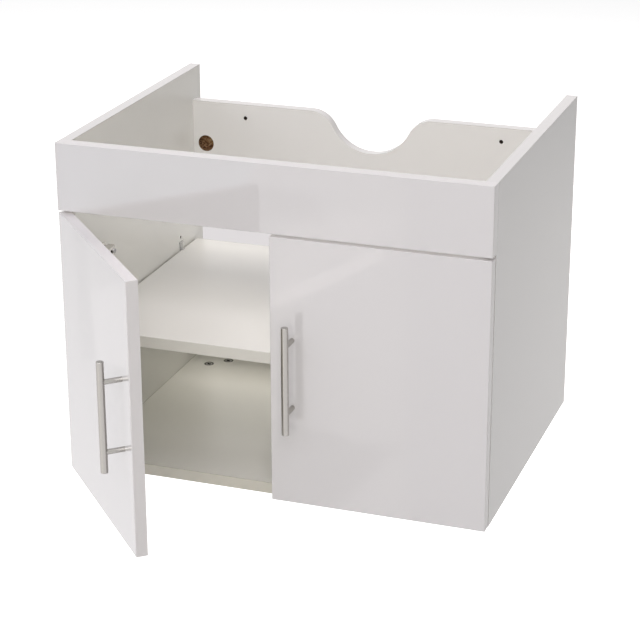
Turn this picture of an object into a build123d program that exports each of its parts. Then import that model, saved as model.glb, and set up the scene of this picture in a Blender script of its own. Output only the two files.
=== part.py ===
from build123d import *
import os
from math import atan2, cos, degrees, hypot, radians, sin, sqrt

# Wall-hung washbasin base unit with a fixed fascia, two doors on concealed hinges and one shelf.
# Frame: +X to the right, +Y towards the wall, +Z up. The origin is midway between the two wall-screw
# holes, on the rear face of the upper back panel. The left door is modelled open, the right closed.

os.makedirs("parts", exist_ok=True)

# ---------------------------------------------------------------- driving dimensions, mm and degrees
# Carcass
width = 600.0
height = 475.0
side_depth = 442.0
board = 16.0  # every carcass board
edge_round = 0.6  # edge band on carcass boards

# Upper back panel
panel_drop = 48.0  # its top edge below the cabinet's top
panel_height = 150.0
wall_gap = 16.0  # from its rear face to the wall
wall_hole_drop = 21.0  # wall-screw holes below its top edge
wall_hole_pitch = 396.0
wall_hole_radius = 3.0
cutout_depth = 58.0
bowl_radius = 66.0
shoulder_radius = 40.0
blind_bore_radius = 12.5
blind_bore_depth = 12.5
blind_bore_inset = 21.0  # from the side panel to the bore's axis
blind_bore_drop = 66.0  # below the panel's top edge

# Lower rear rail and shelf
rail_height = 80.0
shelf_drop = 268.0  # its top face below the cabinet's top
shelf_setback = 1.0
shelf_rear_gap = 1.0
shelf_end_gap = 2.0

# Fronts
front_board = 16.0  # doors
front_round = 1.0  # rolled edge of the lacquered fronts
door_stand_off = 2.0  # from the side panels' front edges to a closed door's back
fascia_height = 94.0
fascia_door_gap = 4.0
door_gap = 3.0  # between the two doors
door_reveal = 0.5  # from a side panel's outer face to its door's edge
door_lift = 1.0  # door's lower edge above the carcass
left_door_open = 48.0
right_door_open = 0.0

# Bar handles
bar_radius = 5.0
bar_length = 152.0
bar_chamfer = 0.6
bar_stand_off = 28.0  # from the door's face to the bar's axis
post_pitch = 96.0
post_radius = 3.5
handle_inset = 31.0  # from the door's free edge to the bar's axis
handle_screw_radius = 2.0
handle_screw_grip = 8.0  # thread inside the post
handle_screw_head_radius = 4.0
handle_screw_head_height = 2.4
handle_bore_radius = 2.25

# Concealed hinges: pins, seen from above with the door closed
hinge_end = 80.0  # hinge axis height from a door's upper and lower ends
arm_pin_in = 27.5  # from the side panel's inner face
arm_pin_behind = 3.0  # behind the side panel's front edge
cup_pin_from_edge = 13.0  # from the door's hinge edge
cup_pin_from_back = 2.2  # into the door from its back
link_share = 1.0 / 3.0  # the link turns back by this share of the door's swing
hinge_pin_radius = 1.25
pin_clearance = 0.05
pin_proud = 0.5  # an arm pin past the link's cheeks

# Hinge cup
cup_radius = 17.45
cup_wall = 1.15
cup_depth = 11.5
cup_floor = 1.0
cup_bore_radius = 17.5
cup_bore_depth = 12.0
cup_from_edge = 22.5  # cup axis from the door's hinge edge
flange_thickness = 0.8
flange_rim = 1.3  # how far the flange reaches past the cup
ear_radius = 5.5
ear_pitch = 48.0
ear_shift = 5.5  # ears towards the free edge
mouth_depth = 1.0  # the rim is cut away where the link passes
lug_half_gap = 8.0
lug_thickness = 1.6
lug_width = 8.0

# Hinge link: two cheeks on one curved web
cheek_inside = 5.6  # half the gap between the cheeks
cheek = 1.5
link_eye_radius = 2.6
strap_width = 3.6
strap_bow = 2.5
web = 1.4

# Hinge arm and its mounting plate
arm_nose_half = 5.0
arm_half = 7.0
arm_wall = 1.4
arm_height = 11.0
arm_front = 27.0  # from the arm pin back to the channel
arm_length = 53.0
arm_neck_root = 8.0  # how far the neck runs into the channel
arm_bevel = 3.0
adjuster_setback = 6.0  # rear adjusting screw ahead of the arm's rear end
plate_base = 3.0
plate_height = 8.0  # from the side panel to the underside of the arm
plate_half = 9.0
plate_front = 24.0
plate_length = 58.0
block_front = 42.0
block_half = 5.3
block_setback = 2.0  # block's rear end ahead of the plate's
plate_hole_setback = 37.0  # first plate screw behind the side panel's front edge
system_pitch = 32.0  # row pitch of plate screws and shelf-pin holes
wood_screw_radius = 1.75
wood_screw_head_radius = 3.3
wood_screw_head_height = 2.0
wood_screw_length = 12.0
adjuster_radius = 2.0
adjuster_head_radius = 3.2
adjuster_head_height = 1.8
adjuster_grip = 5.0
screw_slot = 0.9

# Cam locks, cam bolts and dowels
cam_radius = 7.4
cam_height = 12.0
cam_pocket_radius = 7.5
cam_pocket_depth = cam_height
cam_to_edge = 34.0
bolt_radius = 3.0
bolt_thread = 10.5
bolt_bore_depth = 11.0
bolt_edge_bore_radius = 4.0
bolt_neck_radius = 1.8
bolt_head_radius = 3.2
bolt_head = 3.0
dowel_radius = 4.0
dowel_in_edge = 19.0
dowel_in_face = 10.0
dowel_spare = 1.0
fixing_step = 32.0  # from a cam to its dowel
bottom_cam_front = 55.0  # front cams of the bottom panel behind its front edge
bottom_cam_rear = 72.0  # rear cams ahead of the side panels' rear edges
rail_cam_inset = 58.0  # cams that hold the rail, from the side panels
fascia_cam_drop = 25.0
fascia_cam_pitch = 45.0

# Shelf supports
pin_hole_radius = 2.5
pin_hole_depth = 10.0
support_pin_radius = 2.45
support_pin_length = 8.0
support_pin_drop = 12.5  # its pin below the shelf's top face
support_width = 12.0
support_plate = 1.4
support_rise = 13.0  # above the shelf's top face
support_ledge = 3.0
support_reach = 10.0
support_lip = 1.6
support_lip_reach = 4.5
support_lip_gap = 0.2
pin_column_front = 50.0  # behind the side panels' front edges
pin_column_rear = 90.0  # ahead of the side panels' rear edges

# ---------------------------------------------------------------- places worked out from them
top_z = panel_drop + wall_hole_drop
bottom_z = top_z - height
middle_z = (top_z + bottom_z) / 2
wall_y = wall_gap
side_front_y = wall_y - side_depth
side_middle_y = (side_front_y + wall_y) / 2
door_back_y = side_front_y - door_stand_off
fascia_board = front_board + door_stand_off  # the fascia's face lies flush with the doors'
fascia_front_y = side_front_y - fascia_board
inner_x = width / 2 - board
bottom_middle_z = bottom_z + board / 2
blind_bore_x = inner_x - blind_bore_inset
arm_neck_end = arm_front + arm_neck_root  # where the neck stops inside the arm's channel
lug_outside = lug_half_gap + lug_thickness
panel_top_z = wall_hole_drop
panel_bottom_z = panel_top_z - panel_height
rail_front_y = wall_y - board
shelf_top_z = top_z - shelf_drop
shelf_bottom_z = shelf_top_z - board
shelf_front_y = side_front_y + shelf_setback
shelf_rear_y = -board - shelf_rear_gap
door_top_z = top_z - fascia_height - fascia_door_gap
door_bottom_z = bottom_z + door_lift
door_height = door_top_z - door_bottom_z
door_middle_z = (door_top_z + door_bottom_z) / 2
door_width = width / 2 - door_reveal - door_gap / 2
hinge_levels = (door_height / 2 - hinge_end, hinge_end - door_height / 2)
pin_levels = [shelf_top_z - support_pin_drop + step * system_pitch for step in (-1, 0, 1, 2)]
pin_columns = (side_front_y + pin_column_front, wall_y - pin_column_rear)
sides = (-1, 1)  # left and right

# Closed door: from the arm pin to the cup pin, along the door (+ towards its free edge) and backwards
link_along = door_reveal + cup_pin_from_edge - board - arm_pin_in
link_back = -door_stand_off - cup_pin_from_back - arm_pin_behind


def hand_plane(origin, side, turn):
    """A plane at a hinge pin, at the door's mid-height: x along the closed door towards its free edge,
    turned outwards by turn degrees, y backwards. A right-hand door and its hinges are left-hand ones
    turned upside down, so the right-hand plane's z points down."""
    swing = radians(turn)
    return Plane(origin=origin, x_dir=(-side * cos(swing), -sin(swing), 0), z_dir=(0, 0, -side))


def arm_plane(side):
    return hand_plane((side * (inner_x - arm_pin_in), side_front_y + arm_pin_behind, door_middle_z), side, 0)


def link_plane(side, door_open):
    return hand_plane(arm_plane(side).origin, side, -link_share * door_open)


def door_plane(side, door_open):
    pin = link_plane(side, door_open).from_local_coords(Vector(link_along, link_back, 0))
    return hand_plane(pin, side, door_open)


def facing_back(plane, y):
    """The plane across the hinge plane at y, looking backwards: its x is the hinge plane's x."""
    return Plane(origin=plane.from_local_coords(Vector(0, y, 0)), x_dir=plane.x_dir, z_dir=plane.y_dir)


def facing_inwards(side, y, z):
    """A plane on a side panel's inner face, looking into the cabinet, with its y upwards."""
    return Plane(origin=(side * inner_x, y, z), x_dir=(0, -side, 0), z_dir=(-side, 0, 0))


def save(piece, name):
    piece.part.label = name
    export_step(piece.part, "parts/" + name + ".step")
    print(name, len(piece.part.solids()), "solids", round(piece.part.volume), "mm3")


# ---------------------------------------------------------------- cam and dowel places
# A cam's plane stands at the middle of its board: x along the bolt, z out of the cam's mouth.
def bottom_side_cam(side, y):
    return Plane(
        origin=(side * (inner_x - cam_to_edge), y, bottom_middle_z), x_dir=(side, 0, 0), z_dir=(0, 0, 1)
    )


def bottom_rail_cam(side):
    return Plane(
        origin=(side * (inner_x - rail_cam_inset), rail_front_y - cam_to_edge, bottom_middle_z),
        x_dir=(0, 1, 0),
        z_dir=(0, 0, 1),
    )


def fascia_cam(side, step):
    level = top_z - fascia_cam_drop - step * fascia_cam_pitch
    return Plane(
        origin=(side * (width - board) / 2, side_front_y + cam_to_edge, level),
        x_dir=(0, -1, 0),
        z_dir=(-side, 0, 0),
    )


def joint_face(cam):
    """Where the cam's bolt leaves its board: z along the bolt."""
    return Plane(origin=cam.origin + cam.x_dir * cam_to_edge, x_dir=cam.z_dir, z_dir=cam.x_dir)


bottom_cam_rows = (side_front_y + bottom_cam_front, wall_y - bottom_cam_rear)
bottom_dowel_rows = (bottom_cam_rows[0] + fixing_step, bottom_cam_rows[1] - fixing_step)
side_cams = {side: [bottom_side_cam(side, y) for y in bottom_cam_rows] for side in sides}
rail_cams = [bottom_rail_cam(side) for side in sides]
fascia_cams = {side: [fascia_cam(side, step) for step in (0, 1)] for side in sides}
all_cams = side_cams[-1] + side_cams[1] + rail_cams + fascia_cams[-1] + fascia_cams[1]


# A dowel's plane lies on its joint: z points into the board that the dowel enters through its face.
def end_dowel(side, y, z):
    return Plane(origin=(side * inner_x, y, z), x_dir=(0, 1, 0), z_dir=(side, 0, 0))


panel_dowel_levels = (panel_top_z - panel_height / 6, panel_bottom_z + panel_height / 6)
bottom_dowels = {side: [end_dowel(side, y, bottom_middle_z) for y in bottom_dowel_rows] for side in sides}
panel_dowels = {side: [end_dowel(side, -board / 2, z) for z in panel_dowel_levels] for side in sides}
rail_dowels = {side: [end_dowel(side, wall_y - board / 2, bottom_z + rail_height * 0.6)] for side in sides}
fascia_dowels = {
    side: [
        Plane(
            origin=(side * (width - board) / 2, side_front_y, top_z - fascia_cam_drop - fascia_cam_pitch / 2),
            x_dir=(0, 0, 1),
            z_dir=(0, -1, 0),
        )
    ]
    for side in sides
}


def every(places):
    return places[-1] + places[1]


def cut_round(plane, radius, amount):
    """Cuts a round hole from the plane, along its normal, in the part that is being built."""
    with BuildSketch(plane) as hole:
        Circle(radius)
    extrude(hole.sketch, amount=amount, mode=Mode.SUBTRACT)


def cut_cam_pockets(cams):
    for cam in cams:
        cut_round(cam.offset(board / 2), cam_pocket_radius, -cam_pocket_depth)
        cut_round(joint_face(cam), bolt_edge_bore_radius, -cam_to_edge)


def cut_bolt_bores(cams):
    for cam in cams:
        cut_round(joint_face(cam), bolt_radius, bolt_bore_depth)


def cut_dowel_bores(dowels, depth):
    for dowel in dowels:
        cut_round(dowel, dowel_radius, depth)


edge_bore = -(dowel_in_edge + dowel_spare)
face_bore = dowel_in_face + dowel_spare


# ---------------------------------------------------------------- carcass boards
def side_panel(side):
    with BuildPart() as panel:
        with BuildSketch(Plane.YZ.offset(side * inner_x)):
            with Locations((side_middle_y, middle_z)):
                Rectangle(side_depth, height)
        extrude(amount=side * board)
        fillet(panel.faces().sort_by(Axis.X)[0 if side < 0 else -1].edges(), edge_round)
        with BuildSketch(Plane.YZ.offset(side * inner_x)):
            with Locations(*[(y, z) for y in pin_columns for z in pin_levels]):
                Circle(pin_hole_radius)
        extrude(amount=side * pin_hole_depth, mode=Mode.SUBTRACT)
        with BuildSketch(Plane.YZ.offset(side * inner_x)):
            with Locations(*[(y, door_middle_z + z) for y in plate_screw_rows for z in hinge_levels]):
                Circle(wood_screw_radius)
        extrude(amount=side * wood_screw_length, mode=Mode.SUBTRACT)
        cut_bolt_bores(side_cams[side])
        cut_cam_pockets(fascia_cams[side])
        cut_dowel_bores(bottom_dowels[side] + panel_dowels[side] + rail_dowels[side], face_bore)
        cut_dowel_bores(fascia_dowels[side], edge_bore)
    return panel


plate_screw_rows = (side_front_y + plate_hole_setback, side_front_y + plate_hole_setback + system_pitch)

left_side_panel = side_panel(-1)
save(left_side_panel, "left_side_panel")
right_side_panel = side_panel(1)
save(right_side_panel, "right_side_panel")

with BuildPart() as bottom_panel:
    with BuildSketch(Plane.XY.offset(bottom_z)):
        with Locations((0, (side_front_y + rail_front_y) / 2)):
            Rectangle(2 * inner_x, rail_front_y - side_front_y)
    extrude(amount=board)
    fillet(bottom_panel.faces().sort_by(Axis.Y)[0].edges().filter_by(Axis.X), edge_round)
    cut_cam_pockets(every(side_cams) + rail_cams)
    cut_dowel_bores(every(bottom_dowels), edge_bore)
save(bottom_panel, "bottom_panel")

with BuildPart() as lower_rear_rail:
    with BuildSketch(Plane.XZ.offset(-rail_front_y)):
        with Locations((0, bottom_z + rail_height / 2)):
            Rectangle(2 * inner_x, rail_height)
    extrude(amount=-board)
    fillet(lower_rear_rail.faces().sort_by(Axis.Z)[-1].edges().filter_by(Axis.X), edge_round)
    cut_bolt_bores(rail_cams)
    cut_dowel_bores(every(rail_dowels), edge_bore)
save(lower_rear_rail, "lower_rear_rail")

# The panel's top edge dips in a bell: a bowl arc between two shoulder arcs that touch it.
bowl_z = panel_top_z - cutout_depth + bowl_radius
shoulder_z = panel_top_z - shoulder_radius
arc_reach = bowl_radius + shoulder_radius
shoulder_x = sqrt(arc_reach**2 - (bowl_z - shoulder_z) ** 2)
tangent_angle = degrees(atan2(bowl_z - shoulder_z, shoulder_x))

with BuildPart() as upper_back_panel:
    with BuildSketch(Plane.XZ):
        with BuildLine():
            left_shoulder = CenterArc((-shoulder_x, shoulder_z), shoulder_radius, 90, tangent_angle - 90)
            CenterArc((0, bowl_z), bowl_radius, 180 + tangent_angle, 180 - 2 * tangent_angle)
            right_shoulder = CenterArc(
                (shoulder_x, shoulder_z), shoulder_radius, 180 - tangent_angle, tangent_angle - 90
            )
            Polyline(
                right_shoulder @ 1,
                (inner_x, panel_top_z),
                (inner_x, panel_bottom_z),
                (-inner_x, panel_bottom_z),
                (-inner_x, panel_top_z),
                left_shoulder @ 0,
            )
        make_face()
    extrude(amount=board)
    with BuildSketch(Plane.XZ):
        with GridLocations(wall_hole_pitch, 1, 2, 1):
            Circle(wall_hole_radius)
    extrude(amount=board, mode=Mode.SUBTRACT)
    with BuildSketch(Plane.XZ.offset(board)):
        with Locations(*[(side * blind_bore_x, panel_top_z - blind_bore_drop) for side in sides]):
            Circle(blind_bore_radius)
    extrude(amount=-blind_bore_depth, mode=Mode.SUBTRACT)
    cut_dowel_bores(every(panel_dowels), edge_bore)
save(upper_back_panel, "upper_back_panel")

with BuildPart() as shelf:
    with BuildSketch(Plane.XY.offset(shelf_bottom_z)):
        with Locations((0, (shelf_front_y + shelf_rear_y) / 2)):
            Rectangle(2 * (inner_x - shelf_end_gap), shelf_rear_y - shelf_front_y)
    extrude(amount=board)
    fillet(shelf.faces().sort_by(Axis.Y)[0].edges().filter_by(Axis.X), edge_round)
save(shelf, "shelf")

with BuildPart() as front_fascia:
    with BuildSketch(Plane.XZ.offset(-side_front_y)):
        with Locations((0, top_z - fascia_height / 2)):
            Rectangle(width, fascia_height)
    extrude(amount=fascia_board)
    fillet(front_fascia.faces().sort_by(Axis.Y)[0].edges(), front_round)
    cut_bolt_bores(every(fascia_cams))
    cut_dowel_bores(every(fascia_dowels), face_bore)
save(front_fascia, "front_fascia")

# ---------------------------------------------------------------- cams, bolts, dowels, supports
cam_slot = 1.3
cam_slot_depth = 2.5
with BuildPart() as cam_locks:
    for cam in all_cams:
        with BuildSketch(cam.offset(board / 2)):
            Circle(cam_radius)
        extrude(amount=-cam_height)
        # The bolt's head enters from the rim and is held past the middle.
        with BuildSketch(joint_face(cam).offset(-cam_to_edge - bolt_head)):
            Circle(bolt_head_radius + pin_clearance)
        extrude(amount=bolt_head + cam_radius, mode=Mode.SUBTRACT)
        # Cross recess for the screwdriver
        with BuildSketch(cam.offset(board / 2)):
            Rectangle(cam_radius, cam_slot, rotation=45)
            Rectangle(cam_radius, cam_slot, rotation=-45)
        extrude(amount=-cam_slot_depth, mode=Mode.SUBTRACT)
save(cam_locks, "cam_locks")

with BuildPart() as cam_bolts:
    for cam in all_cams:
        with BuildSketch(cam):
            with BuildLine():
                Polyline(
                    (-bolt_head / 2, 0),
                    (-bolt_head / 2, bolt_head_radius),
                    (bolt_head / 2, bolt_head_radius),
                    (bolt_head / 2, bolt_neck_radius),
                    (cam_radius, bolt_neck_radius),
                    (cam_radius + bolt_head_radius, bolt_radius),
                    (cam_to_edge + bolt_thread, bolt_radius),
                    (cam_to_edge + bolt_thread, 0),
                    close=True,
                )
            make_face()
        revolve(axis=Axis(cam.origin, cam.x_dir))
save(cam_bolts, "cam_bolts")

with BuildPart() as wooden_dowels:
    for dowel in every(bottom_dowels) + every(panel_dowels) + every(rail_dowels) + every(fascia_dowels):
        with BuildSketch(dowel.offset(-dowel_in_edge)):
            Circle(dowel_radius)
        extrude(amount=dowel_in_edge + dowel_in_face)
save(wooden_dowels, "wooden_dowels")

# Clear supports: a pin in the side panel, a back plate past the shelf's end, a ledge under the shelf
# with a gusset, and a lip that keeps the shelf down.
with BuildPart() as shelf_supports:
    for side in sides:
        for column in pin_columns:
            face = facing_inwards(side, column, shelf_top_z)
            ledge_top = -board
            with BuildSketch(face):
                with Locations((0, -support_pin_drop)):
                    Circle(support_pin_radius)
            extrude(amount=-support_pin_length)
            with BuildSketch(face):
                with Locations((0, (support_rise + ledge_top - support_ledge) / 2)):
                    RectangleRounded(support_width, support_rise - ledge_top + support_ledge, support_plate)
            extrude(amount=support_plate)
            with BuildSketch(face):
                with Locations((0, ledge_top - support_ledge / 2)):
                    Rectangle(support_width, support_ledge)
            extrude(amount=support_reach)
            with BuildSketch(face):
                with Locations((0, support_lip_gap + support_lip / 2)):
                    Rectangle(support_width / 2, support_lip)
            extrude(amount=support_lip_reach)
            foot = support_ledge - ledge_top
            rib_start = face.origin - face.x_dir * support_plate / 2
            rib = Plane(origin=rib_start, x_dir=face.z_dir, z_dir=face.x_dir)
            with BuildSketch(rib):
                with BuildLine():
                    Polyline((0, foot), (support_reach - 1, foot), (0, foot + support_reach - 2), close=True)
                make_face()
            extrude(amount=support_plate)
save(shelf_supports, "shelf_supports")

# ---------------------------------------------------------------- hinge pieces that stay on the carcass
plate_x = -arm_pin_in  # side panel's inner face, seen from the arm pin
arm_floor_x = plate_x + plate_height
arm_top_x = arm_floor_x + arm_height
screw_rows = (plate_hole_setback - arm_pin_behind, plate_hole_setback - arm_pin_behind + system_pitch)
adjuster_rows = (screw_rows[0] + system_pitch / 2, arm_front + arm_length - adjuster_setback)


def level_planes(plane):
    """The hinge plane at the upper and the lower hinge."""
    return [plane.offset(level) for level in hinge_levels]


def slab(plane, half):
    """The plane that a piece of half-width half starts from, to be extruded by twice that."""
    return plane.offset(-half)


def looking_in(plane, x, y):
    """A plane square to the side panel, at x and y of the hinge plane, looking into the cabinet."""
    return Plane(origin=plane.from_local_coords(Vector(x, y, 0)), x_dir=plane.y_dir, z_dir=plane.x_dir)


def hinge_plates(side):
    with BuildPart() as plates:
        for plane in level_planes(arm_plane(side)):
            with BuildSketch(looking_in(plane, plate_x, plate_front + plate_length / 2)):
                RectangleRounded(plate_length, 2 * plate_half, plate_half / 2)
            extrude(amount=plate_base)
            block_length = plate_front + plate_length - block_setback - block_front
            with BuildSketch(looking_in(plane, plate_x + plate_base, block_front + block_length / 2)):
                RectangleRounded(block_length, 2 * block_half, arm_wall)
            extrude(amount=arm_top_x - arm_wall - pin_clearance - plate_x - plate_base)
            for row in screw_rows:
                cut_round(looking_in(plane, plate_x, row), wood_screw_radius, plate_base)
                head_room = looking_in(plane, plate_x + plate_base, row)
                cut_round(head_room, wood_screw_head_radius + screw_slot, arm_height + plate_height)
            for row in adjuster_rows:
                cut_round(looking_in(plane, arm_top_x, row), adjuster_radius, -arm_wall - adjuster_grip)
    return plates


def plate_screws():
    with BuildPart() as screws:
        for side in sides:
            for plane in level_planes(arm_plane(side)):
                for row in screw_rows:
                    with BuildSketch(looking_in(plane, plate_x + plate_base, row)):
                        Circle(wood_screw_radius)
                    extrude(amount=-(plate_base + wood_screw_length - 1))
                    with BuildSketch(looking_in(plane, plate_x + plate_base, row)):
                        Circle(wood_screw_head_radius)
                    extrude(amount=wood_screw_head_height, taper=20)
    return screws


def hinge_arms(side):
    """Cranked channel arms: the nose carries the arm pin, the open channel sits over the plate's block."""
    with BuildPart() as arms:
        for plane in level_planes(arm_plane(side)):
            nose = link_eye_radius
            with BuildSketch(slab(plane, arm_nose_half)):
                with BuildLine():
                    Polyline(
                        (nose, 0),
                        (arm_top_x, arm_neck_end),
                        (arm_floor_x + arm_bevel, arm_neck_end),
                        (-nose, 0),
                        close=True,
                    )
                make_face()
                Circle(nose)
            extrude(amount=2 * arm_nose_half)
            with BuildSketch(slab(plane, arm_half)):
                with BuildLine():
                    Polyline(
                        (arm_floor_x, arm_front + arm_bevel),
                        (arm_floor_x, arm_front + arm_length),
                        (arm_top_x - arm_bevel, arm_front + arm_length),
                        (arm_top_x, arm_front + arm_length - arm_bevel),
                        (arm_top_x, arm_front),
                        (arm_top_x - arm_bevel, arm_front),
                        close=True,
                    )
                make_face()
            extrude(amount=2 * arm_half)
            # Channel under the arm, over the plate's block
            with BuildSketch(slab(plane, arm_half - arm_wall)):
                with Locations((arm_top_x - arm_wall - arm_height, arm_neck_end + arm_length / 2)):
                    Rectangle(2 * arm_height, arm_length)
            extrude(amount=2 * (arm_half - arm_wall), mode=Mode.SUBTRACT)
            # Screw holes and the window over the rear plate screw
            for row in adjuster_rows:
                cut_round(looking_in(plane, arm_top_x, row), adjuster_radius + pin_clearance, -arm_wall)
            cut_round(looking_in(plane, arm_top_x, screw_rows[1]), wood_screw_head_radius, -arm_wall)
            cut_round(slab(plane, arm_nose_half), hinge_pin_radius, 2 * arm_nose_half)
    return arms


def adjusting_screws(side):
    with BuildPart() as screws:
        for plane in level_planes(arm_plane(side)):
            for row in adjuster_rows:
                with BuildSketch(looking_in(plane, arm_top_x, row)):
                    Circle(adjuster_radius)
                extrude(amount=-(arm_wall + adjuster_grip))
                with BuildSketch(looking_in(plane, arm_top_x, row)):
                    Circle(adjuster_head_radius)
                extrude(amount=adjuster_head_height)
                with BuildSketch(looking_in(plane, arm_top_x + adjuster_head_height, row)):
                    Rectangle(1.3 * adjuster_head_radius, screw_slot)
                    Rectangle(screw_slot, 1.3 * adjuster_head_radius)
                extrude(amount=-adjuster_head_height * 0.6, mode=Mode.SUBTRACT)
    return screws


def pins(plane, half):
    with BuildPart() as pair:
        for level in level_planes(plane):
            with BuildSketch(slab(level, half)):
                Circle(hinge_pin_radius)
            extrude(amount=2 * half)
    return pair


# ---------------------------------------------------------------- hinge links
def hinge_links(side, door_open):
    """Two cheeks with an eye at each pin, joined by a web along the outside of their curve."""
    span = hypot(link_along, link_back)
    curve_radius = (span**2 / 4 + strap_bow**2) / (2 * strap_bow)
    heading = atan2(link_back, link_along)
    middle = Vector(link_along, link_back) / 2
    across = Vector(-sin(heading), cos(heading))  # towards the front of the closed door
    centre = middle - across * (curve_radius - strap_bow)
    half_sweep = degrees(atan2(span / 2, curve_radius - strap_bow))
    middle_angle = degrees(atan2(across.Y, across.X))
    first_angle = middle_angle - half_sweep
    half_width = cheek_inside + cheek
    with BuildPart() as links:
        for plane in level_planes(link_plane(side, door_open)):
            for start in (-half_width, cheek_inside):
                with BuildSketch(plane.offset(start)):
                    with BuildLine():
                        CenterArc((centre.X, centre.Y), curve_radius, first_angle, 2 * half_sweep)
                    trace(line_width=strap_width)
                    with Locations((0, 0), (link_along, link_back)):
                        Circle(link_eye_radius)
                        Circle(hinge_pin_radius + pin_clearance, mode=Mode.SUBTRACT)
                extrude(amount=cheek)
            with BuildSketch(slab(plane, cheek_inside)):
                with BuildLine():
                    web_radius = curve_radius + strap_width / 2 - web / 2
                    CenterArc((centre.X, centre.Y), web_radius, middle_angle - half_sweep / 2, half_sweep)
                trace(line_width=web)
            extrude(amount=2 * cheek_inside)
    return links


# ---------------------------------------------------------------- doors, in their hinge planes
door_back = cup_pin_from_back
door_front = cup_pin_from_back - front_board
cup_x = cup_from_edge - cup_pin_from_edge
handle_x = door_width - cup_pin_from_edge - handle_inset
cup_spots = [(cup_x, level) for level in hinge_levels]
ear_spots = [(cup_x + ear_shift, level + turn * ear_pitch / 2) for level in hinge_levels for turn in sides]
post_spots = [(handle_x, turn * post_pitch / 2) for turn in sides]


def door(side, door_open):
    plane = door_plane(side, door_open)
    with BuildPart() as leaf:
        with BuildSketch(slab(plane, door_height / 2)):
            with Locations((door_width / 2 - cup_pin_from_edge, (door_back + door_front) / 2)):
                Rectangle(door_width, front_board)
        extrude(amount=door_height)
        fillet(leaf.faces().sort_by(Axis(plane.origin, plane.y_dir))[0].edges(), front_round)
        with BuildSketch(facing_back(plane, door_back)):
            with Locations(*cup_spots):
                Circle(cup_bore_radius)
        extrude(amount=-cup_bore_depth, mode=Mode.SUBTRACT)
        with BuildSketch(facing_back(plane, door_back)):
            with Locations(*ear_spots):
                Circle(wood_screw_radius)
        extrude(amount=-wood_screw_length, mode=Mode.SUBTRACT)
        with BuildSketch(facing_back(plane, door_back)):
            with Locations(*post_spots):
                Circle(handle_bore_radius)
        extrude(amount=-front_board, mode=Mode.SUBTRACT)
    return leaf


def hinge_cups(side, door_open):
    """Pressed cups: a pot and a flange with two ears, and two lugs inside that hold the cup pin."""
    plane = door_plane(side, door_open)
    back = facing_back(plane, door_back)
    with BuildPart() as cups:
        with BuildSketch(back):
            with Locations(*cup_spots):
                Circle(cup_radius)
        extrude(amount=-cup_depth)
        for spot, level in cup_spots:
            with BuildSketch(back):
                with Locations((spot, level)):
                    Circle(cup_radius + flange_rim)
                with Locations((spot + ear_shift, level)):
                    with GridLocations(1, ear_pitch, 1, 2):
                        Circle(ear_radius)
                make_hull()
            extrude(amount=flange_thickness)
        with BuildSketch(back.offset(flange_thickness)):
            with Locations(*cup_spots):
                Circle(cup_radius - cup_wall)
        extrude(amount=-(flange_thickness + cup_depth - cup_floor), mode=Mode.SUBTRACT)
        with BuildSketch(back.offset(flange_thickness)):
            with Locations(*ear_spots):
                Circle(wood_screw_radius)
        extrude(amount=-flange_thickness, mode=Mode.SUBTRACT)
        with BuildSketch(back.offset(flange_thickness)):
            with Locations(*[(cup_x + cup_radius, level) for level in hinge_levels]):
                Rectangle(cup_radius / 2, 2 * lug_half_gap)
        extrude(amount=-flange_thickness - mouth_depth, mode=Mode.SUBTRACT)
        for level in level_planes(plane):
            for start in (-lug_outside, lug_half_gap):
                with BuildSketch(level.offset(start)):
                    with Locations((0, door_back - cup_depth / 2)):
                        Rectangle(lug_width, cup_depth)
                extrude(amount=lug_thickness)
            cut_round(slab(level, lug_outside), hinge_pin_radius, 2 * lug_outside)
    return cups


def cup_screws(side, door_open):
    back = facing_back(door_plane(side, door_open), door_back + flange_thickness)
    with BuildPart() as screws:
        with BuildSketch(back):
            with Locations(*ear_spots):
                Circle(wood_screw_radius)
        extrude(amount=-(flange_thickness + wood_screw_length - 1))
        with BuildSketch(back):
            with Locations(*ear_spots):
                Circle(wood_screw_head_radius)
        extrude(amount=wood_screw_head_height / 2, taper=20)
    return screws


def handle_bar(side, door_open):
    plane = door_plane(side, door_open)
    with BuildPart() as bar:
        with BuildSketch(slab(plane, bar_length / 2)):
            with Locations((handle_x, door_front - bar_stand_off)):
                Circle(bar_radius)
        extrude(amount=bar_length)
        chamfer(bar.edges().filter_by(GeomType.CIRCLE), bar_chamfer)
    return bar


def handle_posts(side, door_open):
    """Posts with a saddle that fits the bar, drilled for a screw from inside the door."""
    plane = door_plane(side, door_open)
    with BuildPart() as posts:
        with BuildSketch(facing_back(plane, door_front)):
            with Locations(*post_spots):
                Circle(post_radius)
                Circle(handle_screw_radius, mode=Mode.SUBTRACT)
        extrude(amount=-(handle_screw_grip + 1))
        with BuildSketch(facing_back(plane, door_front - handle_screw_grip - 1)):
            with Locations(*post_spots):
                Circle(post_radius)
        extrude(amount=-(bar_stand_off - handle_screw_grip - 1))
        with BuildSketch(slab(plane, bar_length / 2)):
            with Locations((handle_x, door_front - bar_stand_off)):
                Circle(bar_radius)
        extrude(amount=bar_length, mode=Mode.SUBTRACT)
    return posts


def handle_screws(side, door_open):
    plane = door_plane(side, door_open)
    with BuildPart() as screws:
        with BuildSketch(facing_back(plane, door_back)):
            with Locations(*post_spots):
                Circle(handle_screw_radius)
        extrude(amount=-(front_board + handle_screw_grip))
        with BuildSketch(facing_back(plane, door_back)):
            with Locations(*post_spots):
                Circle(handle_screw_head_radius)
        extrude(amount=handle_screw_head_height, taper=15)
    return screws


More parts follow.
